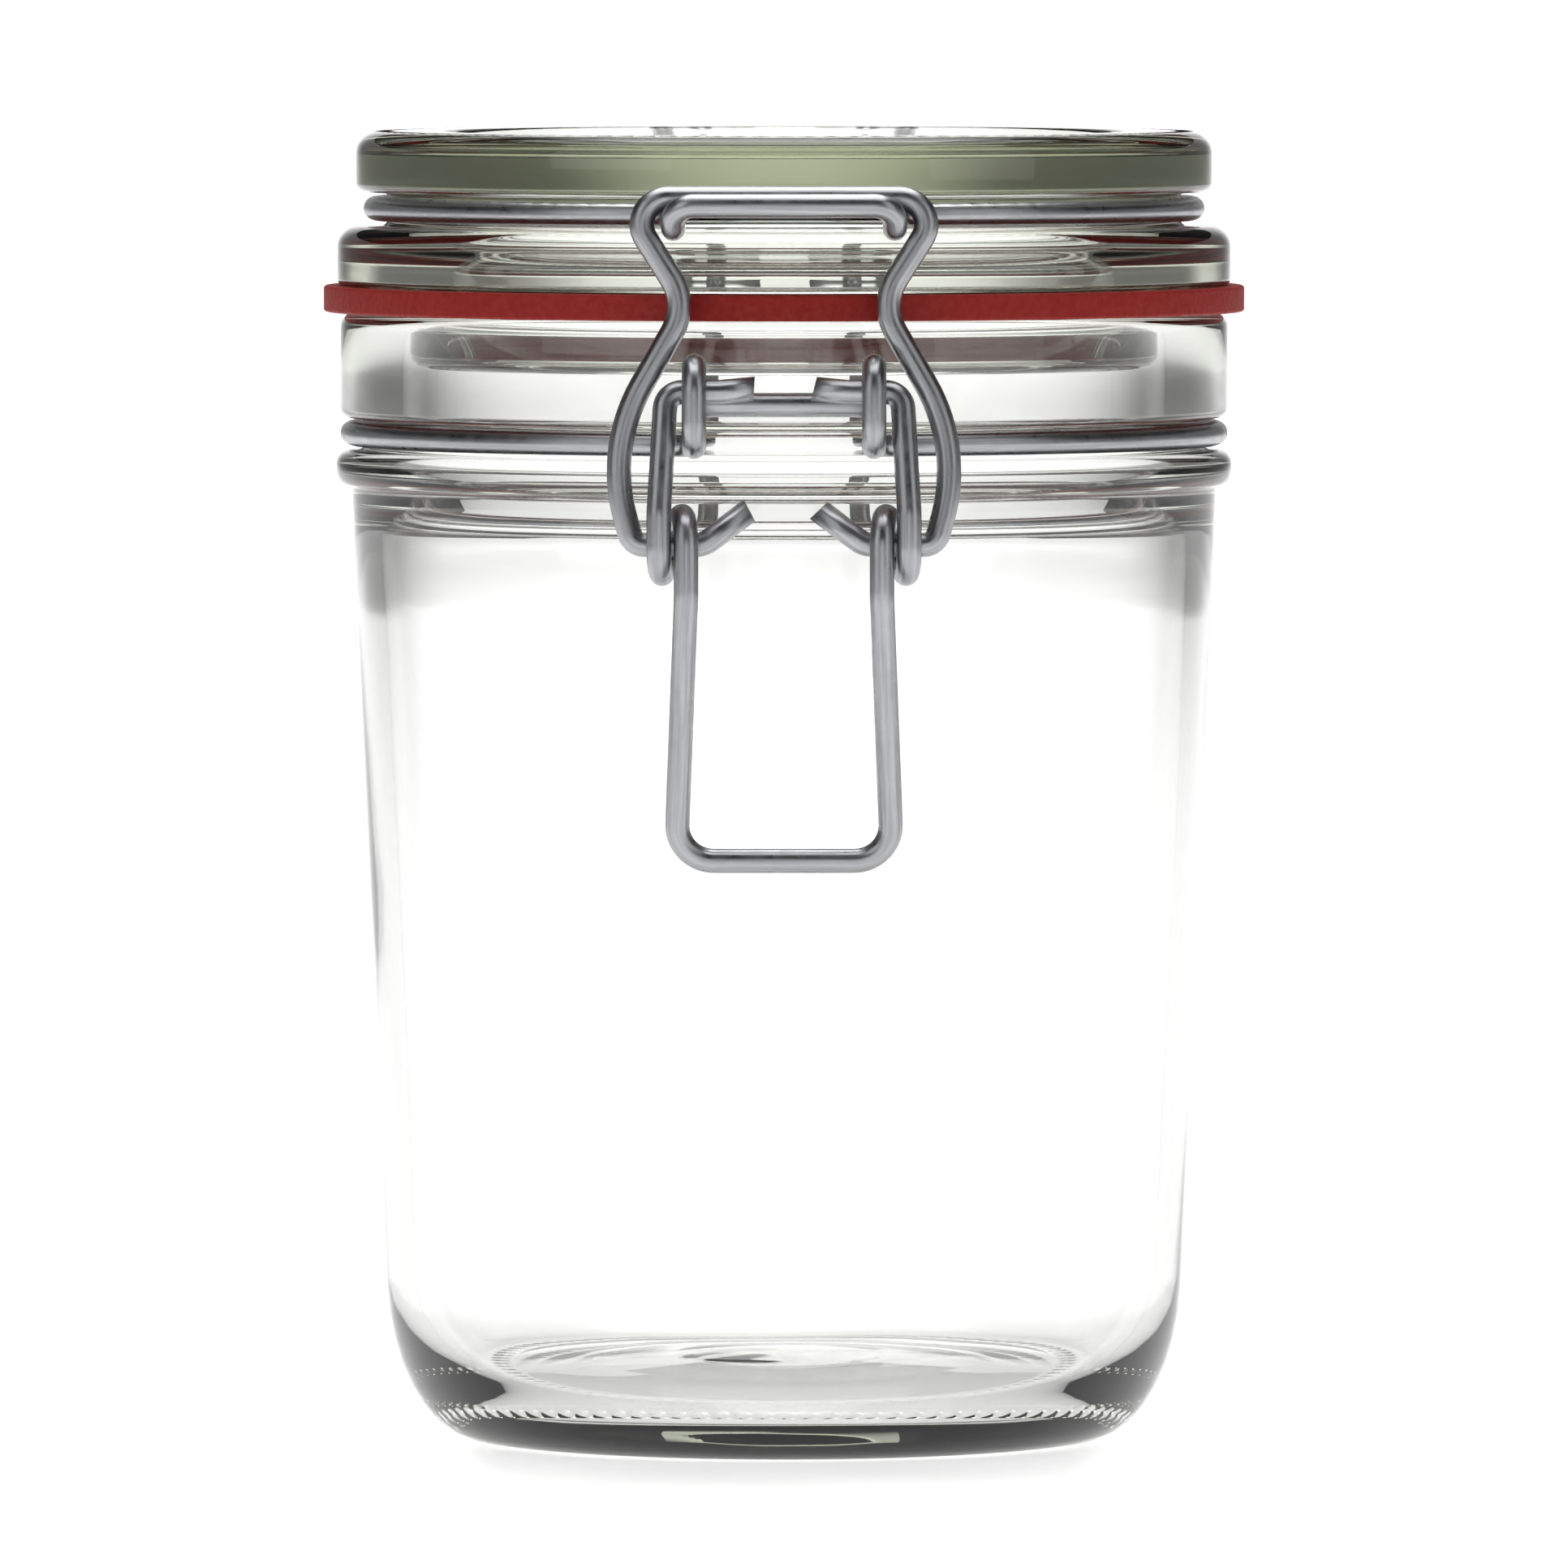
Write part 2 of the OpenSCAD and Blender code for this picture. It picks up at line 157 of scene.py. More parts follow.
def bendWire(corners, bends):
    # Draws a ring of points along the corners and turns it round each bend
    shape = bmesh.new()
    drawn = shape.verts.layers.float_vector.new("drawn")
    points = [Vector(c) * mm for c in corners]
    last = len(points) - 1
    ways = [(b - a).normalized() for a, b in zip(points, points[1:])]
    turns = [0] + [a.angle(b, 0) for a, b in zip(ways, ways[1:])] + [0]
    rounds = [0] + [r * mm for r in bends] + [0]
    backs = [r * tan(t / 2) for r, t in zip(rounds, turns)]
    side = ways[0].orthogonal().normalized()
    over = ways[0].cross(side)
    place = Matrix((side, over, ways[0])).transposed().to_4x4()
    place.translation = points[0]
    ring = bmesh.ops.create_circle(
        shape, cap_ends=False, segments=wireMesh["sides"], radius=wireR * mm, matrix=place)["verts"]
    edges = shape.edges[:]
    firstEdges, reached = edges[:], 0

    def mark():
        centre = sum((v.co for v in ring), Vector()) / len(ring)
        for v in ring:
            v[drawn] = ((v.co - centre).dot(side), (v.co - centre).dot(over), reached)
    mark()
    for i in range(1, last + 1):
        run = (points[i] - points[i - 1]).length - backs[i - 1] - backs[i]
        pieces = max(1, ceil(run / (wireMesh["longest"] * mm)))
        for _ in range(pieces):
            made = bmesh.ops.extrude_edge_only(shape, edges=edges)["geom"]
            ring = [g for g in made if isinstance(g, bmesh.types.BMVert)]
            edges = [g for g in made
                     if isinstance(g, bmesh.types.BMEdge) and g.verts[0] in ring and g.verts[1] in ring]
            bmesh.ops.translate(shape, vec=ways[i - 1] * run / pieces, verts=ring)
            reached += run / pieces
            mark()
        if i == last:
            break
        axis = ways[i - 1].cross(ways[i]).normalized()
        inward = axis.cross(ways[i - 1])
        centre = points[i] - ways[i - 1] * backs[i] + inward * rounds[i]
        steps = max(2, ceil(turns[i] / (2 * acos(1 - wireMesh["flat"] * mm / rounds[i]))))
        for _ in range(steps):
            made = bmesh.ops.spin(
                shape, geom=ring + edges, cent=centre, axis=axis, dvec=(0, 0, 0), angle=turns[i] / steps,
                steps=1, use_merge=False, use_duplicate=False)["geom_last"]
            ring = [g for g in made if isinstance(g, bmesh.types.BMVert)]
            edges = [g for g in made if isinstance(g, bmesh.types.BMEdge)]
            turned = Matrix.Rotation(turns[i] / steps, 3, axis)
            side, over = turned @ side, turned @ over
            reached += turns[i] / steps * rounds[i]
            mark()
    # Sheared ends: a slanted, slightly burred cut at each
    for rim, way in ((firstEdges, -ways[0]), (edges, ways[-1])):
        verts = list(dict.fromkeys(v for e in rim for v in e.verts))
        centre = sum((v.co for v in verts), Vector()) / len(verts)
        slant = way.cross(Vector((0, 1, 0))).normalized()
        for v in verts:
            v.co -= way * (wireR * mm - (v.co - centre).dot(slant)) * wireMesh["slant"]
        cap = bmesh.ops.edgeloop_fill(shape, edges=rim)["faces"]
        made = bmesh.ops.inset_region(
            shape, faces=cap, thickness=wireMesh["burr"] * mm, depth=0, use_even_offset=True)
        for face in cap + made["faces"]:
            face.material_index = 1
    bmesh.ops.recalc_face_normals(shape, faces=shape.faces)
    return shape


# Materials

def newNode(tree, kind, values=None, **settings):
    node = tree.nodes.new(kind)
    for key, value in settings.items():
        setattr(node, key, value)
    for key, value in (values or {}).items():
        if isinstance(value, bpy.types.NodeSocket):
            tree.links.new(value, node.inputs[key])
        else:
            node.inputs[key].default_value = value
    return node


def newGroup(name, inputs, outputs):
    group = bpy.data.node_groups.new(name, "ShaderNodeTree")
    for label, kind, value in inputs:
        socket = group.interface.new_socket(label, in_out="INPUT", socket_type=kind)
        if value is not None:
            socket.default_value = value
    for label, kind in outputs:
        group.interface.new_socket(label, in_out="OUTPUT", socket_type=kind)
    return group, group.nodes.new("NodeGroupInput").outputs, group.nodes.new("NodeGroupOutput").inputs


def mixColours(tree, share, first, second):
    mixed = newNode(tree, "ShaderNodeMix", {0: share, 6: first, 7: second}, data_type="RGBA")
    return mixed.outputs[2]


def fadeAside(tree, place, start, end, middle, side):
    # A value that passes from middle to side as X goes from start to end, to left and right alike
    across = newNode(tree, "ShaderNodeSeparateXYZ", {"Vector": place}).outputs["X"]
    aside = newNode(tree, "ShaderNodeMath", {0: across}, operation="ABSOLUTE").outputs["Value"]
    fade = newNode(tree, "ShaderNodeMapRange", {
        "Value": aside, "From Min": start, "From Max": end, "To Min": middle, "To Max": side},
        interpolation_type="SMOOTHSTEP")
    return fade.outputs["Result"]


number, colour, vector = "NodeSocketFloat", "NodeSocketColor", "NodeSocketVector"

# Fine grain: a roughness between two values and a height
grain, given, out = newGroup(
    "fineGrain",
    [("Vector", vector, None), ("Scale", number, 900), ("Detail", number, 3),
     ("Low", number, 0.3), ("High", number, 0.5)],
    [("Roughness", number), ("Height", number)])
noise = newNode(grain, "ShaderNodeTexNoise", {
    "Vector": given["Vector"], "Scale": given["Scale"], "Detail": given["Detail"]})
spread = newNode(grain, "ShaderNodeMapRange", {
    "Value": noise.outputs["Fac"], "From Min": 0.3, "From Max": 0.7,
    "To Min": given["Low"], "To Max": given["High"]})
grain.links.new(spread.outputs["Result"], out["Roughness"])
grain.links.new(noise.outputs["Fac"], out["Height"])

# Blotches: one colour passing into another in soft patches
blotches, given, out = newGroup(
    "softBlotches",
    [("Vector", vector, None), ("Scale", number, 60), ("Amount", number, 0.5),
     ("Ground", colour, (1, 1, 1, 1)), ("Patch", colour, (0, 0, 0, 1))],
    [("Color", colour)])
noise = newNode(blotches, "ShaderNodeTexNoise", {
    "Vector": given["Vector"], "Scale": given["Scale"], "Detail": 4, "Roughness": 0.6})
spread = newNode(blotches, "ShaderNodeMapRange", {
    "Value": noise.outputs["Fac"], "From Min": 0.35, "From Max": 0.65, "To Min": 0, "To Max": given["Amount"]})
mixed = mixColours(blotches, spread.outputs["Result"], given["Ground"], given["Patch"])
blotches.links.new(mixed, out["Color"])

# Drawing lines: long fine streaks along a wire
streaks, given, out = newGroup(
    "drawnStreaks",
    [("Vector", vector, None), ("Across", number, 2200), ("Along", number, 60),
     ("Light", colour, (0.6, 0.62, 0.65, 1)), ("Dark", colour, (0.3, 0.31, 0.33, 1))],
    [("Color", colour), ("Height", number)])
widths = newNode(streaks, "ShaderNodeCombineXYZ", {
    "X": given["Across"], "Y": given["Across"], "Z": given["Along"]})
stretched = newNode(streaks, "ShaderNodeVectorMath", {
    0: given["Vector"], 1: widths.outputs["Vector"]}, operation="MULTIPLY")
noise = newNode(streaks, "ShaderNodeTexNoise", {
    "Vector": stretched.outputs["Vector"], "Scale": 1, "Detail": 3, "Roughness": 0.65})
spread = newNode(streaks, "ShaderNodeMapRange", {
    "Value": noise.outputs["Fac"], "From Min": 0.3, "From Max": 0.7})
mixed = mixColours(streaks, spread.outputs["Result"], given["Dark"], given["Light"])
streaks.links.new(mixed, out["Color"])
streaks.links.new(noise.outputs["Fac"], out["Height"])


def newMaterial(name, **constants):
    material = bpy.data.materials.new(name)
    material.use_nodes = True
    tree = material.node_tree
    shader = tree.nodes["Principled BSDF"]
    for label, value in constants.items():
        shader.inputs[label.replace("_", " ")].default_value = value
    return material, tree, shader


def placeGroup(tree, group, values):
    return newNode(tree, "ShaderNodeGroup", values, node_tree=group).outputs


def addBump(tree, shader, height, strength, distance):
    bump = newNode(tree, "ShaderNodeBump", {
        "Strength": strength, "Distance": distance * mm, "Height": height})
    tree.links.new(bump.outputs["Normal"], shader.inputs["Normal"])


# Clear glass with a little green in its depth, stronger in the lid
glassLook = {
    "ior": 1.52, "depthColour": (0.27, 0.33, 0.05), "density": {"lid": 15, "jar": 9},
    "polish": (0.0, 0.015), "orangePeel": 70, "peelBump": 0.25, "peelDepth": 0.02,
}
glasses = {}
for name, density in glassLook["density"].items():
    glasses[name], tree, shader = newMaterial(
        name + "Glass", Base_Color=(1, 1, 1, 1), Metallic=0, IOR=glassLook["ior"], Transmission_Weight=1)
    position = newNode(tree, "ShaderNodeTexCoord").outputs["Object"]
    polish = placeGroup(tree, grain, {"Vector": position, "Scale": glassLook["orangePeel"], "Detail": 2,
                                      "Low": glassLook["polish"][0], "High": glassLook["polish"][1]})
    tree.links.new(polish["Roughness"], shader.inputs["Roughness"])
    addBump(tree, shader, polish["Height"], glassLook["peelBump"], glassLook["peelDepth"])
    depth = newNode(tree, "ShaderNodeVolumeAbsorption", {
        "Color": (*glassLook["depthColour"], 1), "Density": density})
    tree.links.new(depth.outputs["Volume"], tree.nodes["Material Output"].inputs["Volume"])

# Matt red rubber with a fine bloom
rubberLook = {
    "red": (0.27, 0.007, 0.004, 1), "bloom": (0.37, 0.03, 0.02, 1), "bloomAmount": 0.5, "bloomScale": 1100,
    "speckle": 1500, "rough": (0.5, 0.72), "bump": 0.6, "bumpDepth": 0.06,
}
rubber, tree, shader = newMaterial("redRubber", Metallic=0, IOR=1.5, Specular_IOR_Level=0.3)
position = newNode(tree, "ShaderNodeTexCoord").outputs["Object"]
tint = placeGroup(tree, blotches, {"Vector": position, "Scale": rubberLook["bloomScale"],
                                   "Amount": rubberLook["bloomAmount"],
                                   "Ground": rubberLook["red"], "Patch": rubberLook["bloom"]})
matt = placeGroup(tree, grain, {"Vector": position, "Scale": rubberLook["speckle"], "Detail": 4,
                                "Low": rubberLook["rough"][0], "High": rubberLook["rough"][1]})
tree.links.new(tint["Color"], shader.inputs["Base Color"])
tree.links.new(matt["Roughness"], shader.inputs["Roughness"])
addBump(tree, shader, matt["Height"], rubberLook["bump"], rubberLook["bumpDepth"])

# Zinc-plated drawn steel, and the brighter cut at its ends
steelLook = {
    "drawn": {"light": (0.50, 0.505, 0.52, 1), "dark": (0.31, 0.315, 0.33, 1), "rough": (0.26, 0.38)},
    "cut": {"light": (0.55, 0.55, 0.56, 1), "dark": (0.34, 0.34, 0.35, 1), "rough": (0.35, 0.5)},
}
drawnLines = {"dullScale": 700, "bump": 0.2, "bumpDepth": 0.05}
steels = []
for name, look in steelLook.items():
    steel, tree, shader = newMaterial(name + "Steel", Metallic=1)
    drawn = newNode(tree, "ShaderNodeAttribute", attribute_name="drawn").outputs["Vector"]
    lines = placeGroup(tree, streaks, {"Vector": drawn, "Light": look["light"], "Dark": look["dark"]})
    dull = placeGroup(tree, grain, {"Vector": drawn, "Scale": drawnLines["dullScale"],
                                    "Low": look["rough"][0], "High": look["rough"][1]})
    tree.links.new(lines["Color"], shader.inputs["Base Color"])
    tree.links.new(dull["Roughness"], shader.inputs["Roughness"])
    addBump(tree, shader, lines["Height"], drawnLines["bump"], drawnLines["bumpDepth"])
    steels.append(steel)
print("materials ready")

# Glass jar

jar = {
    "steps": 344, "mouthR": 44.8, "collarR": 52.1, "wallTopR": 50.8, "taper": 4.1, "heelH": 18, "standR": 36.2,
    "standW": 3, "wall": 3.3, "bottom": 4.5, "innerHeel": 8.8, "pushUp": 2.5, "collarH": 12.4,
    "groove": wireD + 0.9, "grooveD": 2.9, "beadR": 52.6, "beadH": 4.2, "dots": 86, "dotDepth": 0.28,
    "wallRows": 6, "domeR": 40, "neckSlope": 8,
}
waves = {   # how the blown wall swells in and out: (turns, share, start, twist up the wall)
    "swells": ((3, 1, 0.7, 0.02), (5, 0.7, -1.3, -0.05), (9, 0.5, 2.1, 0.09)),
    "depth": 0.07, "outerShare": 0.25, "stopBelowGroove": 10, "fadeH": 12, "skin": 1.5,
}
chillMark = {   # the mark swirling in the middle of the thick bottom
    "below": 9, "radius": 30, "upper": 0.1, "lower": 0.03, "arms": 2, "twist": 0.45, "rings": 0.9,
    "fadeOut": 8, "fadeIn": 3,
}
dotShape = (0, 0.6, 1, 0.6)   # heights of one moulded dot, step by step round the ring
collarZ = rimZ - jar["collarH"]
grooveZ = collarZ - jar["groove"]
neckFloorR = jar["collarR"] - jar["grooveD"]
beadFootZ = grooveZ - jar["beadH"]
slope = jar["taper"] / (beadFootZ - jar["heelH"])   # how fast the wall narrows going down
shift = slope * beadFootZ                           # the wall is drawn upright, then leant in below the bead
innerR = jar["wallTopR"] - jar["wall"]
standOut = jar["standR"] + shift
heelOut = jar["wallTopR"] - standOut
dome = [(0.72, 0.55), (0.36, 0.9)]                  # share of the radius and of the push-up's rise
wallZs = [h * (beadFootZ - jar["heelH"]) / jar["wallRows"] + jar["heelH"] for h in range(1, jar["wallRows"])]
rim = jar["standR"] - jar["standW"]
outline = (
    [(0, jar["pushUp"])]
    + [(rim * a + shift, jar["pushUp"] * b, jar["domeR"]) for a, b in reversed(dome)]
    + [(rim + shift, 0, 4), *((rim + out + shift, 0) for out in (0.8, 1.6, 2.3))]
    + [(jar["wallTopR"], 0, heelOut - 0.01, jar["heelH"] / heelOut)]
    + [(jar["wallTopR"], z) for z in wallZs]
    + [(jar["wallTopR"], beadFootZ, 0.8), (jar["beadR"], beadFootZ + 0.1, 1.9), (jar["beadR"], grooveZ, 1.9)]
    + [(neckFloorR, grooveZ, 0.7), (neckFloorR, collarZ, 0.7), (jar["collarR"], collarZ, 1.0)]
    + [(jar["collarR"], rimZ, 2.0), (jar["mouthR"], rimZ, 1.6)]
    + [(jar["mouthR"], grooveZ, 8), (innerR, grooveZ - jar["neckSlope"], 12)]
    + [(innerR, z) for z in reversed(wallZs)]
    + [(innerR, jar["bottom"], jar["innerHeel"], (jar["heelH"] - jar["bottom"]) / jar["innerHeel"])]
    + [(rim * a + shift, jar["bottom"] + jar["pushUp"] * b, jar["domeR"]) for a, b in dome]
    + [(0, jar["bottom"] + jar["pushUp"])]
)
shape = newOutline(outline)
# Lean the wall in and bring the bottom's middle back to the axis
for v in shape.verts:
    z = v.co.z / mm
    if z < beadFootZ:
        lean = shift - slope * z if v.co.x / mm > standOut - 5 else shift
        v.co.x = max(0, v.co.x - lean * mm)
turnOutline(shape, jar["steps"])
pitch = jar["steps"] // jar["dots"]
for v in shape.verts:
    r, z = hypot(v.co.x, v.co.y) / mm, v.co.z / mm
    if r < 1e-3:
        continue
    if z < 0.05 and rim + 0.5 < r < rim + 2.6:      # a ring of small moulded dots under the base
        v.co.z += jar["dotDepth"] * mm * dotShape[angleOf(v, jar["steps"]) % pitch]
    a = Vector((v.co.x, v.co.y)).angle_signed(Vector((1, 0)), 0)
    fade = max(0, min(1, (grooveZ - waves["stopBelowGroove"] - z) / waves["fadeH"]))
    inside = z > jar["heelH"] and r < jar["wallTopR"] - slope * (beadFootZ - z) - waves["skin"]
    swell = sum(share * sin(turns * a + start + z * twist) for turns, share, start, twist in waves["swells"])
    push = waves["depth"] * fade * (1 if inside else waves["outerShare"]) * swell
    if z < chillMark["below"] and r < chillMark["radius"]:
        edge = min(1, (chillMark["radius"] - r) / chillMark["fadeOut"]) * min(1, r / chillMark["fadeIn"])
        height = chillMark["upper"] if z > jar["bottom"] - 1 else chillMark["lower"]
        swirl = sin(chillMark["arms"] * a + r * chillMark["twist"]) * sin(r * chillMark["rings"])
        v.co.z += height * mm * swirl * edge
    v.co.x += push * mm * cos(a)
    v.co.y -= push * mm * sin(a)
addPiece("jar_glass", shape, [glasses["jar"]], "jar", "glass_jar")

# Glass lid

lidLow, lidHigh = boxes["glass_lid"]
gasketLow, gasketHigh = boxes["rubber_gasket"]
lid = {
    "steps": 440, "flangeR": lidHigh.x, "flangeH": 7.1, "groove": wireD + 1.1, "grooveD": 3.8, "topInset": 2.2,
    "round": 2.7, "rimW": 10.2, "dishD": 2.5, "plugR": 44.0, "plugW": 5, "web": 7, "hollowRound": 7,
    "flareR": 45, "spigotR": 46.9, "dots": 110, "dotDepth": 0.3, "dotRows": (47.4, 46.9, 46.4, 45.9),
}
lidZ, topR = gasketHigh.z, lid["flangeR"] - lid["topInset"]
lidGrooveZ = lidZ + lid["flangeH"]
topZ = lidGrooveZ + lid["groove"]
floorR = topR - lid["grooveD"]
dishR, dishZ = topR - lid["rimW"], lidHigh.z - lid["dishD"]
hollowR, plugZ = lid["plugR"] - lid["plugW"], lidLow.z
crownZ = dishZ - lid["web"]
flareH = crownZ - lid["hollowRound"] - plugZ
flare = asin(flareH / lid["flareR"])
outline = (
    [(0, crownZ), (hollowR, crownZ, lid["hollowRound"])]
    + [(hollowR, plugZ + flareH - lid["flareR"] * tan(flare / 2), lid["flareR"] * 0.98)]
    + [(hollowR + lid["flareR"] * (1 - cos(flare)), plugZ, 0.5)]
    + [(lid["plugR"], plugZ, 1.6), (lid["plugR"], rimZ + 0.3, 0.4), (lid["spigotR"], rimZ + 0.3, 0.5)]
    + [(lid["spigotR"], lidZ, 0.4), (lid["flangeR"], lidZ, 0.9), (lid["flangeR"], lidGrooveZ, lid["round"])]
    + [(floorR, lidGrooveZ, 0.8), (floorR, topZ, 0.8), (topR, topZ, 1.0), (topR, lidHigh.z, lid["round"])]
    + [(r, lidHigh.z) for r in lid["dotRows"]]
    + [(dishR, lidHigh.z, 1.5), (dishR - lid["dishD"], dishZ, 2), (0, dishZ)]
)
shape = newOutline(outline)
turnOutline(shape, lid["steps"])
pitch = lid["steps"] // lid["dots"]
for v in shape.verts:
    r, z = hypot(v.co.x, v.co.y) / mm, v.co.z / mm
    if z > lidHigh.z - 0.05 and 46.2 < r < 47.6:    # a ring of small moulded dots round the top
        v.co.z -= lid["dotDepth"] * mm * dotShape[angleOf(v, lid["steps"]) % pitch]
addPiece("lid_glass", shape, [glasses["lid"]], "lid", "glass_lid")

# Rubber gasket

gasket = {"steps": 240, "edge": 0.35, "pressed": 0.03}   # pressed: how far the glass bites into the rubber
low, high, outerR = rimZ - gasket["pressed"], gasketHigh.z + gasket["pressed"], gasketHigh.x
bore = lid["spigotR"] - gasket["pressed"]
ring = [(bore, low), (outerR, low), (outerR, high), (bore, high)]
shape = newOutline([(*corner, gasket["edge"]) for corner in ring], closed=True)
turnOutline(shape, gasket["steps"])
addPiece("gasket", shape, [rubber], "lid", "rubber_gasket")

# Wires

turnR, legTurnR = wireR + 1.6, wireR + 0.6

neck = {"eyeX": 10.3, "hingeEyeX": 10.3, "barTurnR": wireR + 0.1, "play": 0.05}
back, front = -(clampY - eyeR), -(clampY + eyeR)
barZ = leverZ - neck["barTurnR"] - neck["play"]
neckRingR = neckFloorR + neck["play"] + wireR
neckRingZ = (collarZ + grooveZ) / 2
rear, ex, hx = hinge.y + eyeR, neck["eyeX"], neck["hingeEyeX"]
half = [
    (ex, back, barZ), (ex, back, leverZ + eyeR), (ex, front, leverZ + eyeR), (ex, front, neckRingZ),
    *ringSide(neckRingR, neckRingZ, ex, hx, turnR), (hx, rear, neckRingZ), (hx, rear, hinge.z + eyeR),
    (hx, hinge.y - eyeR, hinge.z + eyeR), (hx, hinge.y - eyeR, hinge.z - eyeR),
    (hx, hinge.y + 0.2, hinge.z - eyeR),
]
bends = [
    neck["barTurnR"], eyeR, eyeR, turnR, turnR, neckRingR, neckRingR, turnR, turnR, eyeR, eyeR, eyeR,
]
addPiece("neck_loop", bendWire(mirrored(half), bends[::-1] + bends), steels, "jar", "neck_wire")

nose = {
    "x": 12.7, "up": 1.25, "gap": 0.8, "short": 0.2, "turnR": wireR + 1, "flangeGap": 0.45,
    "prongGap": 2.4, "stubX": 3.5, "stubTurnR": wireR + 0.8,
}
lidRingR = floorR + neck["play"] + wireR
lidRingZ = (lidGrooveZ + topZ) / 2
noseZ = lidRingZ + nose["up"]
bailBarY = lid["flangeR"] + nose["flangeGap"] + wireR
noseY = bailBarY + wireD + nose["gap"]
crookY, crookZ = noseY - wireD + nose["short"], noseZ - wireD
bailBarZ = crookZ + wireD + nose["gap"]
prongX = hx + wireD + nose["prongGap"]
half = [
    (nose["x"], -noseY, noseZ), (nose["x"], -crookY, crookZ),
    *ringSide(lidRingR, lidRingZ, nose["x"], prongX, turnR),
    (prongX, hinge.y, lidRingZ), (prongX, hinge.y, hinge.z), (nose["stubX"], hinge.y, hinge.z),
]
bends = [nose["turnR"], legTurnR, turnR, lidRingR, lidRingR, turnR, turnR, nose["stubTurnR"]]
addPiece("lid_loop", bendWire(mirrored(half), bends[::-1] + bends), steels, "lid", "lid_wire")

bail = {
    "waistX": 11, "waistDrop": 12.2, "coilGap": 1.2, "heelGap": 0.2, "bulgeOut": 3, "bulgeUp": 11.3,
    "pass": 0.35, "stub": (3.8, 9.2, 4.1), "shoulderR": 3, "waistR": 6, "bulgeR": 20, "heelR": wireR + 0.4,
}
coilX = ex + wireD + bail["coilGap"]
heelX = coilX + wireD + bail["heelGap"]
toProng = Vector((nose["x"] - bail["waistX"], bail["waistDrop"] - wireD - nose["gap"]))
bailLean = atan(toProng.x / toProng.y) + asin((wireD + bail["pass"]) / toProng.length)
foot = Vector((0, -clampY, bailZ))
top = Vector((0, -bailBarY, bailBarZ))
up, reach = (top - foot).normalized(), (top - foot).length


def onBail(x, height):
    return tuple(Vector((x, 0, 0)) + foot + up * height)


half = [
    onBail(bail["waistX"] + bail["waistDrop"] * tan(bailLean), reach),
    onBail(bail["waistX"], reach - bail["waistDrop"]),
    onBail(heelX + bail["bulgeOut"], bail["bulgeUp"]), onBail(heelX, 0), onBail(bail["stub"][1], 0),
    tuple(Vector((bail["stub"][0], 0, bail["stub"][2])) + foot),
]
bends = [bail["shoulderR"], bail["waistR"], bail["bulgeR"], bail["heelR"], turnR]
addPiece("bail_loop", bendWire(mirrored(half), bends[::-1] + bends), steels, "bail", "bail_wire")

lever = {
    "stub": (3.2, 7.4, 0.4), "lean": 0.8, "above": 0.5, "below": 2.5, "pitch": wireD + 0.3,
    "shares": (0.23, 0.71), "handleX": 12.4, "handleLean": 3.7, "handleDrop": 36.4, "handleR": 4.2,
    "legR": 6,
}
front, back, under, over = -(clampY + coilR), -(clampY - coilR), bailZ - coilR, bailZ + coilR
innerX = coilX - lever["pitch"]
half = [
    (lever["stub"][0], -clampY, leverZ + lever["stub"][2]), (lever["stub"][1], -clampY, leverZ),
    (coilX - lever["lean"], -clampY, leverZ), (coilX, front, over + lever["above"]), (coilX, front, under),
    (coilX - lever["shares"][0] * lever["pitch"], back, under),
    (coilX - lever["shares"][1] * lever["pitch"], back, over),
    (innerX, front, over), (innerX, front, under - lever["below"]),
    (lever["handleX"], lever["handleLean"] - clampY, bailZ - lever["handleDrop"]),
]
bends = [lever["legR"], legTurnR, turnR, coilR, coilR, coilR, coilR, lever["legR"], lever["handleR"]]
path = half + [(-x, y, z) for x, y, z in reversed(half)]
addPiece("lever_loop", bendWire(path, bends + bends[::-1]), steels, "lever", "lever_wire")
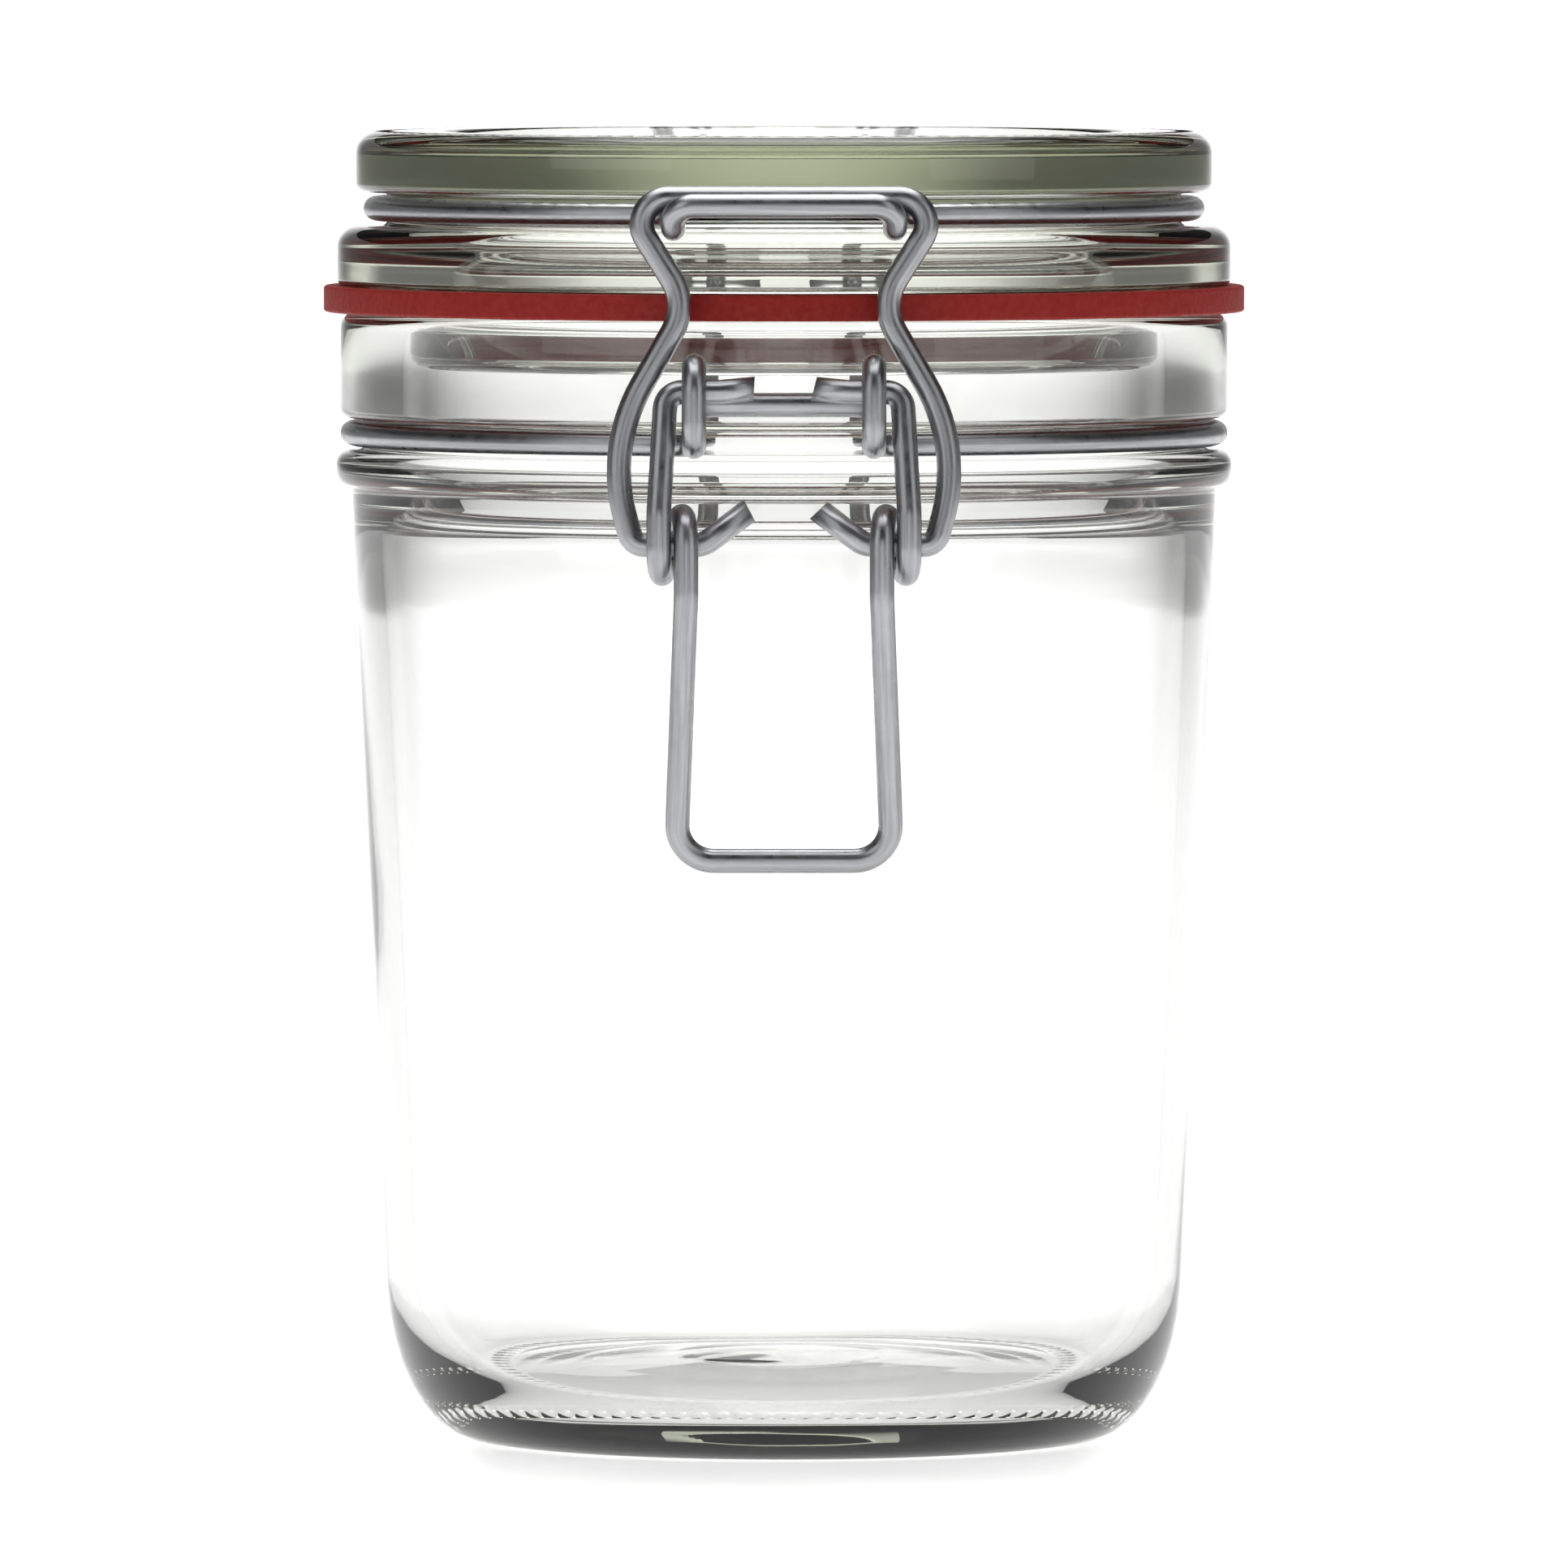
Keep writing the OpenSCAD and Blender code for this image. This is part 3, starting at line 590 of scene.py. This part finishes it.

# Studio: a pale floor that sweeps up all round, and soft lamps. The sweep also glows as painted light though it
# is no lamp: bright in the middle, fading to painted shade at the sides

studio = {
    "underR": 0.6, "flatR": 3.4, "wallR": 4.6, "wallH": 1.3, "steps": 96,
    "floor": (0.7, 0.7, 0.7, 1), "paintedGlow": 0.62,
    # Fades: start, end, value in the middle, value at the sides
    "paintedGlowFade": (0.4, 1.6, 1, 0.2), "roomFade": (0.5, 0.95, 0.6, 0.42), "sheen": (0.16, 0.22), "sheenScale": 30,
}
lamps = {   # place, aim, size, power and spread
    "softLeft": ((-1.3, -1.2, 0.9), (0, 0, 0.1), (1.3, 1.6), 3.5, 150),
    "softRight": ((1.4, -1.0, 0.8), (0, 0, 0.1), (1.1, 1.6), 2.5, 150),
    "softTop": ((0, 0.1, 1.7), (0, 0, 0), (1.8, 1.8), 13, 140),
    "backWash": ((0, 2.3, 1.9), (0, 2.3, 0), (1.2, 4.0), 21, 100),
}
wallR, cove = studio["wallR"] / mm, (studio["wallR"] - studio["flatR"]) / mm
sweep = newOutline([(0, 0), (studio["underR"] / mm, 0), (wallR, 0, cove), (wallR, studio["wallH"] / mm)])
turnOutline(sweep, studio["steps"])
if sweep.faces[0].normal.z < 0:
    bmesh.ops.reverse_faces(sweep, faces=sweep.faces)
# Painted light: the sweep's emission lifts the floor and the shade under the jar, and is dimmed towards the
# sides as painted shade
paper, tree, shader = newMaterial("paleSweep", Base_Color=studio["floor"], Metallic=0, IOR=1.45,
                                  Emission_Strength=studio["paintedGlow"])
position = newNode(tree, "ShaderNodeTexCoord").outputs["Object"]
tree.links.new(fadeAside(tree, position, *studio["paintedGlowFade"]), shader.inputs["Emission Color"])
sheen = placeGroup(tree, grain, {"Vector": position, "Scale": studio["sheenScale"],
                                 "Low": studio["sheen"][0], "High": studio["sheen"][1]})
tree.links.new(sheen["Roughness"], shader.inputs["Roughness"])
newObject("studioSweep", sweep, [paper])

world = bpy.data.worlds.new("softRoom")
world.use_nodes = True
tree = world.node_tree
# The room is bright before and behind, and dimmer at its sides
direction = newNode(tree, "ShaderNodeTexCoord").outputs["Generated"]
tree.links.new(fadeAside(tree, direction, *studio["roomFade"]), tree.nodes["Background"].inputs["Strength"])
scene.world = world
for name, (place, aim, size, power, angle) in lamps.items():
    data = bpy.data.lights.new(name, "AREA")
    data.shape, data.energy, data.spread = "RECTANGLE", power, radians(angle)
    data.size, data.size_y = size
    light = bpy.data.objects.new(name, data)
    light.location = place
    light.rotation_euler = (Vector(aim) - light.location).to_track_quat("-Z", "Y").to_euler()
    scene.collection.objects.link(light)
scene.view_settings.view_transform = "Standard"
print("studio ready")
